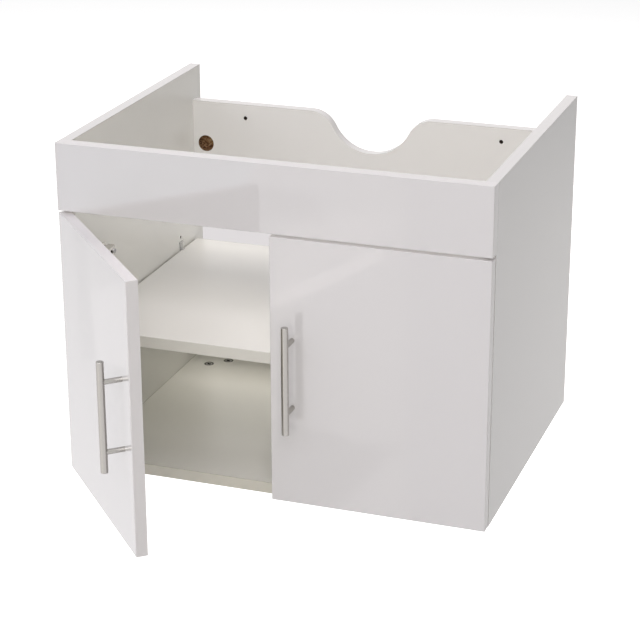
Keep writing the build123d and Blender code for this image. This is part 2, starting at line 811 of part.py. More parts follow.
save(plate_screws(), "hinge_plate_screws")
for side, word, door_open in ((-1, "left", left_door_open), (1, "right", right_door_open)):
    save(hinge_plates(side), word + "_hinge_plates")
    save(hinge_arms(side), word + "_hinge_arms")
    save(adjusting_screws(side), word + "_adjusting_screws")
    save(pins(arm_plane(side), cheek_inside + cheek + pin_proud), word + "_arm_pins")
    save(hinge_links(side, door_open), word + "_hinge_links")
    save(door(side, door_open), word + "_door")
    save(hinge_cups(side, door_open), word + "_hinge_cups")
    save(pins(door_plane(side, door_open), lug_outside), word + "_cup_pins")
    save(cup_screws(side, door_open), word + "_cup_screws")
    save(handle_bar(side, door_open), word + "_handle_bar")
    save(handle_posts(side, door_open), word + "_handle_posts")
    save(handle_screws(side, door_open), word + "_handle_screws")

print("arm pins", arm_plane(-1).origin, arm_plane(1).origin)
print("cup pins", door_plane(-1, left_door_open).origin, door_plane(1, right_door_open).origin)
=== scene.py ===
# %% [markdown]
# # A white washbasin cabinet
# The cabinet hangs on a wall and carries a washbasin. Its boards, doors, hinges and handles come
# from the CAD frame, each as its own mesh. This file gives them their finishes, adds the small
# things that CAD leaves plain, and sets up the light and the camera.

import bmesh
import bpy
import numpy as np
from mathutils import Matrix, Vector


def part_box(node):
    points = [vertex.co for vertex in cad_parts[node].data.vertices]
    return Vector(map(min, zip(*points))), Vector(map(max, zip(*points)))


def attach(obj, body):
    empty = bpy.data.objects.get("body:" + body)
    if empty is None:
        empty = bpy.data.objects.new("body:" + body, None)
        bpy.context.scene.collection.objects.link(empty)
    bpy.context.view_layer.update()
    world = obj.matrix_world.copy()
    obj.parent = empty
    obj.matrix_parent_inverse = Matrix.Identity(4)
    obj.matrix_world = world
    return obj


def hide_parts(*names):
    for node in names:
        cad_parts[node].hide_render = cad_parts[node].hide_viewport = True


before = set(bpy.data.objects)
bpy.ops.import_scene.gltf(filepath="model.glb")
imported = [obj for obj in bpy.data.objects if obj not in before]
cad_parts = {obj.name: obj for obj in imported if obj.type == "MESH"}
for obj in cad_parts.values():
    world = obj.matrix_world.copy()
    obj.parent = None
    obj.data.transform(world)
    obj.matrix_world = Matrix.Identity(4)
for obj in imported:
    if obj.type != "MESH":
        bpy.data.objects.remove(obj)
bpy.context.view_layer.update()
MM = 0.001
print("pieces from CAD:", len(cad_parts))

# %% [markdown]
# ## The camera
# A long lens stands a few metres away, to the right of the cabinet and above it. Its place is
# given by an azimuth and an elevation about a point in the middle of the cabinet, which is easier
# to correct than three coordinates. The three axes of the camera follow from those two angles.

# %% Camera
AZIMUTH = np.radians(19.494)
ELEVATION = np.radians(21.083)
ROLL = np.radians(-0.160)
DISTANCE = 2.8478
AIM = np.array([0.00076, -0.244, -0.21702])
LENS_MM = 113.44
SENSOR_MM = 36.0
NEAR_CLIP = 0.05


def camera_axes(azimuth, elevation, roll):
    """Right, up and back axes. Back points from the object to the camera:
    (sin az cos el, -cos az cos el, sin el). Right is level, up completes the three, and the roll
    turns right and up about back."""
    flat = np.cos(elevation)
    back = np.array([np.sin(azimuth) * flat, -np.cos(azimuth) * flat, np.sin(elevation)])
    level = np.cross([0.0, 0.0, 1.0], back)
    level /= np.linalg.norm(level)
    raised = np.cross(back, level)
    right = np.cos(roll) * level + np.sin(roll) * raised
    up = np.cos(roll) * raised - np.sin(roll) * level
    return right, up, back


def placed_matrix(right, up, back, point):
    """A 4 by 4 matrix whose columns are the three axes and the point."""
    matrix = np.eye(4)
    matrix[:3, :4] = np.column_stack([right, up, back, point])
    return Matrix(matrix.tolist())


camera_data = bpy.data.cameras.new("camera")
camera_data.lens = LENS_MM
camera_data.sensor_width = SENSOR_MM
camera_data.clip_start = NEAR_CLIP
camera = bpy.data.objects.new("camera", camera_data)
bpy.context.scene.collection.objects.link(camera)
right, up, back = camera_axes(AZIMUTH, ELEVATION, ROLL)
camera.matrix_world = placed_matrix(right, up, back, AIM + back * DISTANCE)
bpy.context.scene.camera = camera
print("camera at", np.round(AIM + back * DISTANCE, 3))

# %% [markdown]
# ## The room
# The sky dome gives a little soft light from every side, so that no corner of the inside goes
# black. What the camera and the glossy surfaces see of it is plain white, which is set apart from
# the strength of its light with the Light Path node, so a white background never has to come from
# more light on the object.

# %% World
scene = bpy.context.scene
scene.view_settings.view_transform = "Standard"
world = bpy.data.worlds.new("studio")
scene.world = world
world.use_nodes = True
sky = world.node_tree
sky.nodes.clear()
SKY_STRENGTH = 0.10
SEEN_STRENGTH = 1.0


def add_node(tree, kind, **settings):
    """A new node with its plain properties set."""
    node = tree.nodes.new(kind)
    for name, value in settings.items():
        setattr(node, name, value)
    return node


def feed(tree, sockets, values):
    """Gives each input socket its value, which is a plain value or a socket to link from."""
    for socket, value in zip(sockets, values):
        if isinstance(value, bpy.types.NodeSocket):
            tree.links.new(value, socket)
        else:
            socket.default_value = value


def math_node(tree, operation, *values):
    """A Math node, with numbers or sockets as its values."""
    node = add_node(tree, "ShaderNodeMath", operation=operation)
    feed(tree, node.inputs, values)
    return node.outputs[0]


def two_shaders(tree, kind, factor, first, second):
    """A Mix Shader with its factor, or an Add Shader, which has none."""
    node = add_node(tree, kind)
    factors = [] if factor is None else [factor]
    feed(tree, node.inputs, factors + [first.outputs[0], second.outputs[0]])
    return node


def use_surface(tree, output_kind, shader):
    """Links a shader to the tree's output."""
    tree.links.new(shader.outputs[0], add_node(tree, output_kind).inputs["Surface"])


def seen_directly(tree):
    """1 for camera, glossy and transmission rays, 0 for the rays that carry diffuse light."""
    path = add_node(tree, "ShaderNodeLightPath")
    seen = math_node(tree, "MAXIMUM", path.outputs["Is Camera Ray"], path.outputs["Is Glossy Ray"])
    return math_node(tree, "MAXIMUM", seen, path.outputs["Is Transmission Ray"])


WHITE = (1.0, 1.0, 1.0, 1.0)
dome = add_node(sky, "ShaderNodeBackground")
feed(sky, dome.inputs, (WHITE, SKY_STRENGTH))
white = add_node(sky, "ShaderNodeBackground")
feed(sky, white.inputs, (WHITE, SEEN_STRENGTH))
pick = two_shaders(sky, "ShaderNodeMixShader", seen_directly(sky), dome, white)
use_surface(sky, "ShaderNodeOutputWorld", pick)
print("sky light:", SKY_STRENGTH, "seen as:", SEEN_STRENGTH)

# %% [markdown]
# ## The floor
# The floor is one large flat sheet, and the cabinet hangs clear of it, as it does on a wall. Its
# paint is matt, so it takes the cabinet's shadow, and a glow that only the camera and the glossy
# surfaces see lifts it to a pale tone. The helpers that make its mesh make most other meshes here
# too: a shape is a grid of points.

# %% Floor
FLOOR_Z = -0.86
FLOOR_REACH = 9.0


def grid_faces(rows, columns, closed):
    """The four-sided cells of a grid of rows by columns. A closed grid joins its last column to
    its first."""
    index = np.arange(rows * columns).reshape(rows, columns)
    if closed:
        index = np.hstack([index, index[:, :1]])
    cells = np.stack([index[:-1, :-1], index[1:, :-1], index[1:, 1:], index[:-1, 1:]], axis=-1)
    return cells.reshape(-1, 4)


def grid_mesh(name, grids, closed=False):
    """One mesh from a list of grids of points, each an array of shape (rows, columns, 3)."""
    points, faces, count = [], [], 0
    for grid in grids:
        points.append(grid.reshape(-1, 3))
        faces.append(grid_faces(*grid.shape[:2], closed) + count)
        count += len(points[-1])
    mesh = bpy.data.meshes.new(name)
    mesh.from_pydata(np.vstack(points).tolist(), [], np.vstack(faces).tolist())
    return mesh


def add_object(name, mesh):
    """A new object in the scene, at the origin and unrotated."""
    thing = bpy.data.objects.new(name, mesh)
    bpy.context.scene.collection.objects.link(thing)
    return thing


across = np.linspace(-FLOOR_REACH, FLOOR_REACH, 2)
floor_x, floor_y = np.meshgrid(across, across, indexing="ij")
floor_points = np.stack([floor_x, floor_y, np.full_like(floor_x, FLOOR_Z)], axis=-1)
floor = add_object("floor", grid_mesh("floor", [floor_points]))

FLOOR_GREY = 0.80
FLOOR_SEEN = 0.55
FLOOR_LIFT = 0.27


def empty_material(name):
    """A material with no nodes yet, for what isn't a Principled shader."""
    material = bpy.data.materials.new(name)
    material.use_nodes = True
    material.node_tree.nodes.clear()
    return material, material.node_tree


floor_paint, tree = empty_material("floor paint")
matt = add_node(tree, "ShaderNodeBsdfDiffuse")
matt.inputs["Color"].default_value = (FLOOR_GREY, FLOOR_GREY, FLOOR_GREY, 1.0)
lift = add_node(tree, "ShaderNodeEmission")
camera_ray = add_node(tree, "ShaderNodeLightPath").outputs["Is Camera Ray"]
for_camera = math_node(tree, "MULTIPLY", camera_ray, FLOOR_LIFT)
glow = math_node(tree, "MULTIPLY_ADD", seen_directly(tree), FLOOR_SEEN, for_camera)
tree.links.new(glow, lift.inputs["Strength"])
both = two_shaders(tree, "ShaderNodeAddShader", None, matt, lift)
use_surface(tree, "ShaderNodeOutputMaterial", both)
floor.data.materials.append(floor_paint)
print("floor at", FLOOR_Z)

# %% [markdown]
# ## The lamps
# Five softboxes stand around the cabinet. The key, high on the left, makes the open door the
# brightest face. Two boxes in front, one low and one high, fill the right door and reach into the
# open half, a wide one overhead lights the shelf, and one behind looks over the wall panel into
# the cabinet. That last one is hidden from glossy rays, or it would burn a white glare into the
# top edges, which the camera sees at a low angle.

# %% Lamps


def add_softbox(name, at, aim, size, watts, colour):
    """A rectangular area lamp whose back axis points from its aim to its place."""
    lamp = bpy.data.lights.new(name, "AREA")
    lamp.shape = "RECTANGLE"
    lamp.size, lamp.size_y = size
    lamp.energy = watts
    lamp.color = colour
    thing = bpy.data.objects.new(name, lamp)
    bpy.context.scene.collection.objects.link(thing)
    out = np.array(at, float) - np.array(aim, float)
    out /= np.linalg.norm(out)
    level = np.cross([0.0, 0.0, 1.0], out)
    level /= np.linalg.norm(level)
    thing.matrix_world = placed_matrix(level, np.cross(out, level), out, at)
    thing.visible_camera = False
    return thing


MIDDLE = (0.0, -0.25, -0.2)
# Each box has its place, its width and height, its watts and its colour.
SOFTBOXES = {
    "key": ((-2.8, -3.6, 2.4), (3.2, 2.6), 53.0, (0.94, 0.92, 0.985)),
    "top": ((0.2, -0.3, 3.0), (3.0, 2.6), 21.5, (0.95, 0.92, 1.0)),
    "front": ((0.9, -4.2, 0.7), (2.6, 1.8), 33.5, (1.0, 0.98, 0.90)),
    "front high": ((0.6, -3.2, 2.6), (2.6, 1.8), 40.0, (0.98, 0.93, 1.0)),
    "back": ((-0.4, 2.6, 2.2), (2.4, 2.0), 77.0, (1.0, 0.95, 0.91)),
}
for name, (place, size, watts, colour) in SOFTBOXES.items():
    softbox = add_softbox(name, place, MIDDLE, size, watts, colour)
    softbox.visible_glossy = name != "back"
print("softboxes:", len(SOFTBOXES))

# %% [markdown]
# ## What the gloss sees
# High gloss mirrors whatever lies in front of it, and a bare floor gives it nothing to mirror, so
# it looks like matt paint. A photographer leans pale and dark boards around the set for this. Here
# they are flat cards just above the floor, drawn by their corners, and only glossy rays see them:
# they light nothing, cast no shadow and don't show beside the cabinet. Each card lets the floor
# through and adds a glow to it or takes a share away. The gloss returns about a twelfth of what
# it sees, so the cards may be strong and still give only a breath of tone on the doors. The light
# cards make the wedge and the step on the fixed front and the diagonal band on the right door. The
# dark ones make the soft patches.

# %% Cards on the floor
CARD_GAP = 0.001
LIGHT_CARDS = {
    "broad sheet": ((-0.068, -1.307), (-0.696, -3.338), (-2.4, -3.338), (-2.4, -1.307)),
    "narrow strip": ((-0.715, -2.312), (-0.590, -2.746), (-0.540, -2.674), (-0.675, -2.227)),
    "folded panel": ((-0.861, -2.822), (-0.835, -2.983), (-0.582, -2.979), (-0.715, -2.312)),
    "cool panel": ((-1.780, -3.341), (-1.150, -3.341), (-0.980, -2.760), (-1.486, -2.759)),
    "side panel": ((-1.959, 0.571), (-2.060, 0.520), (-1.586, 0.239), (-1.589, 0.326)),
}
GLOWS = {
    "broad sheet": (0.17, 0.16, 0.13),
    "narrow strip": (0.62, 0.57, 0.54),
    "folded panel": (0.22, 0.20, 0.18),
    "cool panel": (0.00, 0.12, 0.18),
    "side panel": (0.075, 0.070, 0.068),
}
DARK_CARDS = {
    "foot shade": (
        (-0.463, -1.647), (-0.224, -1.591), (-0.164, -1.597), (-0.208, -1.302), (-0.329, -1.304)
    ),
    "soft shade": (
        (-1.124, -2.865), (-1.157, -2.965), (-1.048, -3.128), (-0.860, -3.060), (-0.760, -2.848)
    ),
    "door shade": ((-2.445, 0.921), (-2.371, 0.842), (-1.589, 0.326), (-1.575, 0.356)),
}
LET_THROUGH = {"foot shade": 0.72, "soft shade": 0.78, "door shade": 0.95}


def seen_only_by(card, wanted):
    """Hides a card from every kind of ray but one."""
    for kind in ("camera", "diffuse", "glossy", "transmission", "volume_scatter", "shadow"):
        setattr(card, "visible_" + kind, kind == wanted)


def floor_card(name, corners, height, glow=(0.0, 0.0, 0.0), let_through=1.0):
    """A flat shape over the floor: Transparent times let_through, plus Emission of the glow."""
    places = [(x, y, height) for x, y in corners]
    mesh = bpy.data.meshes.new(name)
    mesh.from_pydata(places, [], [tuple(range(len(places)))])
    card = add_object(name, mesh)
    finish, tree = empty_material(name)
    clear_part = add_node(tree, "ShaderNodeBsdfTransparent")
    clear_part.inputs["Color"].default_value = (let_through, let_through, let_through, 1.0)
    glow_part = add_node(tree, "ShaderNodeEmission")
    glow_part.inputs["Color"].default_value = (*glow, 1.0)
    total = two_shaders(tree, "ShaderNodeAddShader", None, clear_part, glow_part)
    use_surface(tree, "ShaderNodeOutputMaterial", total)
    mesh.materials.append(finish)
    seen_only_by(card, "glossy")


card_level = FLOOR_Z
for name, corners in LIGHT_CARDS.items():
    card_level += CARD_GAP
    floor_card(name.replace(" ", "_"), corners, card_level, glow=GLOWS[name])
for name, corners in DARK_CARDS.items():
    card_level += CARD_GAP
    floor_card(name.replace(" ", "_"), corners, card_level, let_through=LET_THROUGH[name])
print("cards:", len(LIGHT_CARDS) + len(DARK_CARDS))

# %% [markdown]
# The back of the cabinet is open below its wall panel. What shows through there in the photograph
# is a pale grey backdrop, not the white around the cabinet. A backdrop card of that grey stands
# behind the opening. Only the camera sees it, and only its front, so it neither lights the inside
# nor hides it from behind.

# %% Card behind the open back
BACKDROP_GREY = (0.745, 0.716, 0.723)
BEHIND_PANEL = 12 * MM
panel_low, panel_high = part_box("upper_back_panel")
rail_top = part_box("lower_rear_rail")[1][2]
card_x, card_z = np.meshgrid(
    [panel_low[0], panel_high[0]], [rail_top, panel_low[2]], indexing="ij"
)
card_points = np.stack([card_x, np.full_like(card_x, BEHIND_PANEL), card_z], axis=-1)
backdrop = add_object("backdrop_card", grid_mesh("backdrop_card", [card_points]))
backdrop_grey, tree = empty_material("backdrop grey")
front_grey = add_node(tree, "ShaderNodeEmission")
front_grey.inputs["Color"].default_value = (*BACKDROP_GREY, 1.0)
nothing = add_node(tree, "ShaderNodeBsdfTransparent")
from_behind = add_node(tree, "ShaderNodeNewGeometry").outputs["Backfacing"]
one_sided = two_shaders(tree, "ShaderNodeMixShader", from_behind, front_grey, nothing)
use_surface(tree, "ShaderNodeOutputMaterial", one_sided)
backdrop.data.materials.append(backdrop_grey)
seen_only_by(backdrop, "camera")
print("the backdrop card faces", tuple(backdrop.data.polygons[0].normal))

# %% [markdown]
# ## Shared surface effects
# Several finishes need the same things: a colour that isn't perfectly even, a skin that isn't
# perfectly flat, and raw chipboard wherever a drill has gone through that skin. Each effect is
# built once as a node group with named inputs, and each material places it with its own values.

# %% Node group helpers


def new_group(name, inputs, outputs):
    """A shader node group. Inputs and outputs are (name, kind, default) and (name, kind)."""
    group = bpy.data.node_groups.new(name, "ShaderNodeTree")
    for label, kind, default in inputs:
        socket = group.interface.new_socket(label, in_out="INPUT", socket_type=kind)
        socket.default_value = default
    for label, kind in outputs:
        group.interface.new_socket(label, in_out="OUTPUT", socket_type=kind)
    print("group:", name, [socket.name for socket in group.interface.items_tree])
    return group, add_node(group, "NodeGroupInput"), add_node(group, "NodeGroupOutput")


def vector_math(tree, operation, *values):
    """A Vector Math node, with numbers or sockets as its values."""
    node = add_node(tree, "ShaderNodeVectorMath", operation=operation)
    feed(tree, node.inputs, values)
    return node.outputs["Value"] if operation == "DOT_PRODUCT" else node.outputs[0]


def mix_colours(tree, factor, first, second, blend="MIX"):
    """A colour Mix node, with colours or sockets as its values."""
    node = add_node(tree, "ShaderNodeMix", data_type="RGBA", blend_type=blend)
    feed(tree, (node.inputs[0], *node.inputs[6:8]), (factor, first, second))
    return node.outputs[2]


def mix_values(tree, factor, first, second):
    """A Mix node for plain values."""
    node = add_node(tree, "ShaderNodeMix", data_type="FLOAT")
    feed(tree, (node.inputs[0], *node.inputs[2:4]), (factor, first, second))
    return node.outputs[0]


def map_range(tree, value, low, high, to_low=0.0, to_high=1.0):
    """A Map Range node, clamped at both ends. Its first five inputs are the value and the four
    limits, in the order of this function's arguments."""
    node = add_node(tree, "ShaderNodeMapRange")
    feed(tree, node.inputs[:5], (value, low, high, to_low, to_high))
    return node.outputs["Result"]


def object_point(tree):
    """The place of a point on the mesh as it was made, in metres."""
    return add_node(tree, "ShaderNodeTexCoord").outputs["Object"]


def along_normal(tree, direction):
    """How far the normal, on the mesh as it was made, points along a direction: from -1 to 1."""
    normal = add_node(tree, "ShaderNodeTexCoord").outputs["Normal"]
    return vector_math(tree, "DOT_PRODUCT", normal, direction)


def nearest_of_three(tree, vector):
    """The least of a vector's three parts."""
    parts = add_node(tree, "ShaderNodeSeparateXYZ")
    tree.links.new(vector, parts.inputs[0])
    lesser = math_node(tree, "MINIMUM", parts.outputs[0], parts.outputs[1])
    return math_node(tree, "MINIMUM", lesser, parts.outputs[2])


# %% [markdown]
# ### An uneven tone
# Even a white board drifts a little in tone over a hand's width. The group multiplies a colour by
# slow noise, so that large faces don't look like flat paint in a drawing.

# %% Group: uneven tone
tone_group, tone_in, tone_out = new_group(
    "uneven tone",
    [
        ("Colour", "NodeSocketColor", (0.8, 0.8, 0.8, 1.0)),
        ("Amount", "NodeSocketFloat", 0.03),
        ("Scale", "NodeSocketFloat", 6.0),
    ],
    [("Colour", "NodeSocketColor")],
)
DRIFT_DETAIL = 3.0
NOISE_MIDDLE = 0.5
drift = add_node(tone_group, "ShaderNodeTexNoise")
drift.inputs["Detail"].default_value = DRIFT_DETAIL
tone_group.links.new(object_point(tone_group), drift.inputs["Vector"])
tone_group.links.new(tone_in.outputs["Scale"], drift.inputs["Scale"])
centred = math_node(tone_group, "SUBTRACT", drift.outputs[0], NOISE_MIDDLE)
swing = math_node(tone_group, "MULTIPLY_ADD", centred, tone_in.outputs["Amount"], 1.0)
grey = add_node(tone_group, "ShaderNodeCombineColor")
for channel in grey.inputs[:3]:
    tone_group.links.new(swing, channel)
tone_group.links.new(
    mix_colours(tone_group, 1.0, tone_in.outputs["Colour"], grey.outputs[0], "MULTIPLY"),
    tone_out.inputs["Colour"],
)

# %% [markdown]
# ### Where a drill has been
# A board is a sandwich: a thin white skin on a brown core of pressed chips. The skin and the edge
# bands lie on the six faces of the board's box, so any surface that lies inside that box by more
# than a hair is the wall of a hole. The group measures that depth from the Object coordinates.

# %% Group: drilled core
core_group, core_in, core_out = new_group(
    "drilled core",
    [
        ("Low", "NodeSocketVector", (0.0, 0.0, 0.0)),
        ("High", "NodeSocketVector", (0.0, 0.0, 0.0)),
        ("Skin", "NodeSocketFloat", 0.0007),
    ],
    [("Mask", "NodeSocketFloat")],
)
point = object_point(core_group)
from_low = vector_math(core_group, "SUBTRACT", point, core_in.outputs["Low"])
from_high = vector_math(core_group, "SUBTRACT", core_in.outputs["High"], point)
depth = nearest_of_three(core_group, vector_math(core_group, "MINIMUM", from_low, from_high))
below_skin = math_node(core_group, "GREATER_THAN", depth, core_in.outputs["Skin"])
core_group.links.new(below_skin, core_out.inputs["Mask"])

# %% [markdown]
# ### Edge bands
# The four narrow sides of a board are covered with a plastic tape under a millimetre thick. It is
# a cooler white than the faces, and where it ends on a face there is a hairline of glue. The narrow
# sides are those whose normal is square to the board's thickness. On a face, the distance to the
# nearest side of the board's box says where the tape ends.

# %% Group: edge band
band_group, band_in, band_out = new_group(
    "edge band",
    [
        ("Low", "NodeSocketVector", (0.0, 0.0, 0.0)),
        ("High", "NodeSocketVector", (0.0, 0.0, 0.0)),
        ("Thickness axis", "NodeSocketVector", (0.0, 0.0, 1.0)),
        ("Tape", "NodeSocketFloat", 0.0009),
        ("Hairline", "NodeSocketFloat", 0.00012),
    ],
    [("Band", "NodeSocketFloat"), ("Seam", "NodeSocketFloat")],
)
# Added along the thickness, this keeps that direction out of the least distance.
FAR = 1000.0
# A normal counts as pointing along a direction when it lies within about 45 degrees of it.
FACING = 0.7
board_point = object_point(band_group)
across_board = along_normal(band_group, band_in.outputs["Thickness axis"])
across_board = math_node(band_group, "ABSOLUTE", across_board)
side_on = math_node(band_group, "LESS_THAN", across_board, FACING)
low_side = vector_math(band_group, "SUBTRACT", board_point, band_in.outputs["Low"])
high_side = vector_math(band_group, "SUBTRACT", band_in.outputs["High"], board_point)
to_sides = vector_math(band_group, "MINIMUM", low_side, high_side)
away = vector_math(band_group, "MULTIPLY", band_in.outputs["Thickness axis"], (FAR, FAR, FAR))
to_edge = nearest_of_three(band_group, vector_math(band_group, "ADD", to_sides, away))
past_tape = math_node(band_group, "SUBTRACT", to_edge, band_in.outputs["Tape"])
on_tape = math_node(band_group, "LESS_THAN", past_tape, 0.0)
off_line = math_node(band_group, "ABSOLUTE", past_tape)
line = math_node(band_group, "LESS_THAN", off_line, band_in.outputs["Hairline"])
face_on = math_node(band_group, "SUBTRACT", 1.0, side_on)
band_group.links.new(math_node(band_group, "MAXIMUM", side_on, on_tape), band_out.inputs["Band"])
band_group.links.new(math_node(band_group, "MULTIPLY", line, face_on), band_out.inputs["Seam"])

# %% [markdown]
# ### Raw chipboard
# Chips of wood lie flat in the board, pressed with resin: each is a few millimetres long and has
# its own brown. A Voronoi texture gives one flat value per cell, which is just such a chip, and a
# colour ramp turns the value into the browns.

# %% Group: raw chipboard
chips_group, chips_in, chips_out = new_group(
    "raw chipboard",
    [("Scale", "NodeSocketFloat", 500.0)],
    [("Colour", "NodeSocketColor")],
)
cells = add_node(chips_group, "ShaderNodeTexVoronoi")
chips_group.links.new(object_point(chips_group), cells.inputs["Vector"])
chips_group.links.new(chips_in.outputs["Scale"], cells.inputs["Scale"])
one_value = add_node(chips_group, "ShaderNodeSeparateColor")
chips_group.links.new(cells.outputs["Color"], one_value.inputs[0])
DARK_CHIP = (0.10, 0.045, 0.018, 1.0)
MIDDLE_CHIP = (0.26, 0.14, 0.06, 1.0)
PALE_CHIP = (0.42, 0.27, 0.14, 1.0)
HALFWAY = 0.5
browns = add_node(chips_group, "ShaderNodeValToRGB")
browns.color_ramp.elements[0].color = DARK_CHIP
browns.color_ramp.elements[1].color = PALE_CHIP
browns.color_ramp.elements.new(HALFWAY).color = MIDDLE_CHIP
chips_group.links.new(one_value.outputs[0], browns.inputs[0])
chips_group.links.new(browns.outputs["Color"], chips_out.inputs["Colour"])

# %% [markdown]
# ### A skin that isn't quite flat
# Pressed melamine has a fine pebble, and lacquer dries with a slow ripple that makes the
# reflections of straight things waver. Both are one noise at two scales, as a height for Bump.

# %% Group: rippled skin
skin_group, skin_in, skin_out = new_group(
    "rippled skin",
    [
        ("Pebble scale", "NodeSocketFloat", 900.0),
        ("Pebble", "NodeSocketFloat", 1.0),
        ("Ripple scale", "NodeSocketFloat", 12.0),
        ("Ripple", "NodeSocketFloat", 0.0),
    ],
    [("Height", "NodeSocketFloat")],
)
place = object_point(skin_group)
heights = []
for scale_name, weight_name in (("Pebble scale", "Pebble"), ("Ripple scale", "Ripple")):
    waves = add_node(skin_group, "ShaderNodeTexNoise")
    skin_group.links.new(place, waves.inputs["Vector"])
    skin_group.links.new(skin_in.outputs[scale_name], waves.inputs["Scale"])
    weight = skin_in.outputs[weight_name]
    heights.append(math_node(skin_group, "MULTIPLY", waves.outputs[0], weight))
skin_group.links.new(math_node(skin_group, "ADD", *heights), skin_out.inputs["Height"])

# %% [markdown]
# ## The finishes
# Four white things meet on this cabinet, and they aren't the same white: the satin melamine of
# the carcass is warm, its smooth outside and its edge bands are cooler, and the lacquered fronts
# are cooler still and mirror the room. The smooth outside and some edge bands are also painted
# darker, as shade. Each board needs its own copy of the melamine, because the drilled-core group
# has to know that board's box.

# %% Material helpers


def place_group(tree, group, **values):
    """A group node in a material, with its inputs set by name or linked from sockets."""
    node = add_node(tree, "ShaderNodeGroup", node_tree=group)
    feed(tree, [node.inputs[label.replace("_", " ")] for label in values], values.values())
    return node


def uneven(tree, colour, drift):
    """A colour with the uneven tone. A drift is the share the tone swings by and how many times
    in a metre it does."""
    amount, scale = drift
    tone = place_group(tree, tone_group, Colour=(*colour, 1.0), Amount=amount, Scale=scale)
    return tone.outputs["Colour"]


def new_material(name, roughness, colour=(0.8, 0.8, 0.8), metallic=0.0, **sockets):
    """A material with one Principled shader: plain values go straight on its own sockets."""
    material = bpy.data.materials.new(name)
    material.use_nodes = True
    shader = material.node_tree.nodes["Principled BSDF"]
    shader.inputs["Base Color"].default_value = (*colour, 1.0)
    shader.inputs["Roughness"].default_value = roughness
    shader.inputs["Metallic"].default_value = metallic
    for label, value in sockets.items():
        shader.inputs[label.replace("_", " ")].default_value = value
    print("material:", name)
    return material, material.node_tree, shader


def add_bump(tree, shader, height, distance):
    """A Bump node between a height and the shader's Normal. A height of 1 is the distance, in
    metres."""
    bump = add_node(tree, "ShaderNodeBump")
    bump.inputs["Distance"].default_value = distance
    bump.inputs["Strength"].default_value = 1.0
    tree.links.new(height, bump.inputs["Height"])
    tree.links.new(bump.outputs[0], shader.inputs["Normal"])


def paint(node, material):
    """Gives every material slot of a CAD node the same material."""
    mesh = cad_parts[node].data
    mesh.materials.clear()
    mesh.materials.append(material)


# %% [markdown]
# Chipboard is sold with a thin skin of melamine on both faces. Here some boards get a white set a
# little lighter or darker than the rest, which is painted light and shade. Where a drill goes
# through, the brown core shows, so the helper here gives each board the mask and the colour of its
# own core.

# %% Whites and browns of the boards
MELAMINE = (0.905, 0.893, 0.842)
# Boards whose white is set lighter or darker than that as painted light and shade, and edge bands
# darkened as painted shade.
BOARD_WHITES_WITH_PAINTED_LIGHT = {
    "bottom_panel": (0.950, 0.942, 0.868),
    "upper_back_panel": (0.872, 0.866, 0.836),
    "left_side_panel": (0.922, 0.917, 0.872),
    "shelf": (0.892, 0.884, 0.838),
}
# The side panels' outer faces are set far darker than the inner ones: painted shade.
OUTER_FACE_WITH_PAINTED_SHADE = (0.712, 0.706, 0.684)
EDGE_BAND = (0.830, 0.818, 0.800)
# Painted shade on the bottom panel's and the shelf's front edges, which sit back in the cabinet.
BANDS_WITH_PAINTED_SHADE = {"bottom_panel": (0.66, 0.64, 0.55), "shelf": (0.81, 0.80, 0.735)}
GLUE_LINE = (0.62, 0.59, 0.54)
FACE_DRIFT = (0.035, 5.0)
OUTER_DRIFT = (0.025, 3.0)
TAPE_DRIFT = (0.02, 30.0)
SATIN = 0.30
OUTER_GLOSS = 0.10
BAND_GLOSS = 0.16
CORE_ROUGHNESS = 0.95
MELAMINE_PEBBLE = 0.015 * MM
PEBBLES_PER_METRE = 700.0
CHIPS_PER_METRE = 420.0
# Light reaches the floor of the two wide bores in the back panel, which shows the chips. Narrow
# holes get painted shade: the chips on their walls are darkened.
WIDE_BORE_X = 0.263
WIDE_BORE_HALF = 0.016
HOLE_WALL_PAINTED_SHADE = (0.16, 0.15, 0.15, 1.0)
# The back panel's scooped edge is banded too, so only its outer parts can show the core.
SCOOP_HALF_WIDTH = 0.15


def core_of(tree, board, low, high):
    """The mask of a board's drilled core, and its colour."""
    mask = place_group(tree, core_group, Low=low, High=high).outputs["Mask"]
    chips = place_group(tree, chips_group, Scale=CHIPS_PER_METRE).outputs["Colour"]
    # Painted shade: the chips are darkened in every hole but the two wide bores.
    colour = mix_colours(tree, 1.0, chips, HOLE_WALL_PAINTED_SHADE, "MULTIPLY")
    if board == "upper_back_panel":
        parts = add_node(tree, "ShaderNodeSeparateXYZ")
        tree.links.new(object_point(tree), parts.inputs[0])
        sideways = math_node(tree, "ABSOLUTE", parts.outputs[0])
        outer = math_node(tree, "GREATER_THAN", sideways, SCOOP_HALF_WIDTH)
        mask = math_node(tree, "MULTIPLY", mask, outer)
        from_bore = math_node(tree, "SUBTRACT", sideways, WIDE_BORE_X)
        from_bore = math_node(tree, "ABSOLUTE", from_bore)
        in_bore = math_node(tree, "LESS_THAN", from_bore, WIDE_BORE_HALF)
        colour = mix_colours(tree, in_bore, colour, chips)
    return mask, colour


# %% [markdown]
# The outer faces of the side panels are smoother and cooler than the inner ones, and painted
# darker as shade, so a board's colour and roughness are built up in layers: the face, the smooth
# outside where there is one, the edge band, the hairline of glue and, last, the core wherever a
# drill has been.

# %% Melamine boards
THICKNESS_AXES = {
    "left_side_panel": (1.0, 0.0, 0.0),
    "right_side_panel": (1.0, 0.0, 0.0),
    "bottom_panel": (0.0, 0.0, 1.0),
    "lower_rear_rail": (0.0, 1.0, 0.0),
    "upper_back_panel": (0.0, 1.0, 0.0),
    "shelf": (0.0, 0.0, 1.0),
}
OUTWARD = {"left_side_panel": (-1.0, 0.0, 0.0), "right_side_panel": (1.0, 0.0, 0.0)}


